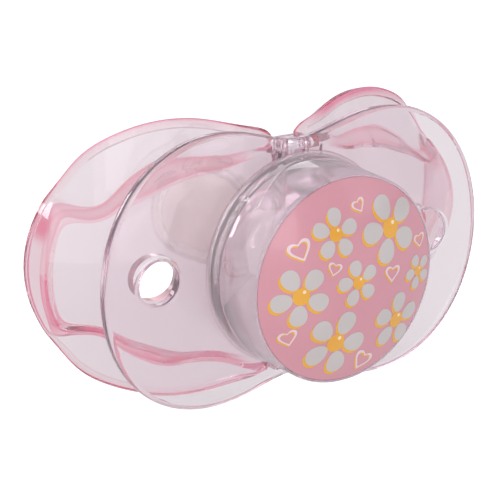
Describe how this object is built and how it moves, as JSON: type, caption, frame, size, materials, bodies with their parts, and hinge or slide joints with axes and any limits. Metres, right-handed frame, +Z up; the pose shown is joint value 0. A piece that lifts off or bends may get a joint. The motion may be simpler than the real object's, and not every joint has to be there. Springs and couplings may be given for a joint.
{
  "type": "pacifier",
  "caption": "Baby pacifier with a clear butterfly shield, a round knob with a domed disc, and two tinted half covers hinged to swing shut over the silicone nipple.",
  "frame": {"origin": "on the knob axis, in the front face of the shield", "axes": "+X across the shield, +Y from the shield towards the mouth along the nipple, +Z up along the hinge axes"},
  "size_m": [0.06, 0.0402, 0.0346],
  "materials": {
    "clear_plastic": "polished clear",
    "tinted_plastic": "polished translucent pink",
    "pink_plastic": "glossy, printed",
    "silicone": "soft satin, translucent"
  },
  "bodies": {
    "shield_body": {"front_shield": "clear_plastic", "knob_housing": "clear_plastic", "decorative_disc": "pink_plastic", "nipple": "silicone", "hinge_pin_top_left": "clear_plastic", "hinge_pin_top_right": "clear_plastic", "hinge_pin_bottom_left": "clear_plastic", "hinge_pin_bottom_right": "clear_plastic"},
    "right_cover_body": {"right_cover": "tinted_plastic"},
    "left_cover_body": {"left_cover": "tinted_plastic"}
  },
  "joints": [
    {"name": "right_cover_hinge", "type": "hinge", "parent": "shield_body", "child": "right_cover_body", "pos_m": [0.00125, 0.00285, 0], "axis": [0, 0, 1], "range_deg": [0, 70.7]},
    {"name": "left_cover_hinge", "type": "hinge", "parent": "shield_body", "child": "left_cover_body", "pos_m": [-0.00125, 0.00285, 0], "axis": [0, 0, -1], "range_deg": [0, 70.7]}
  ]
}
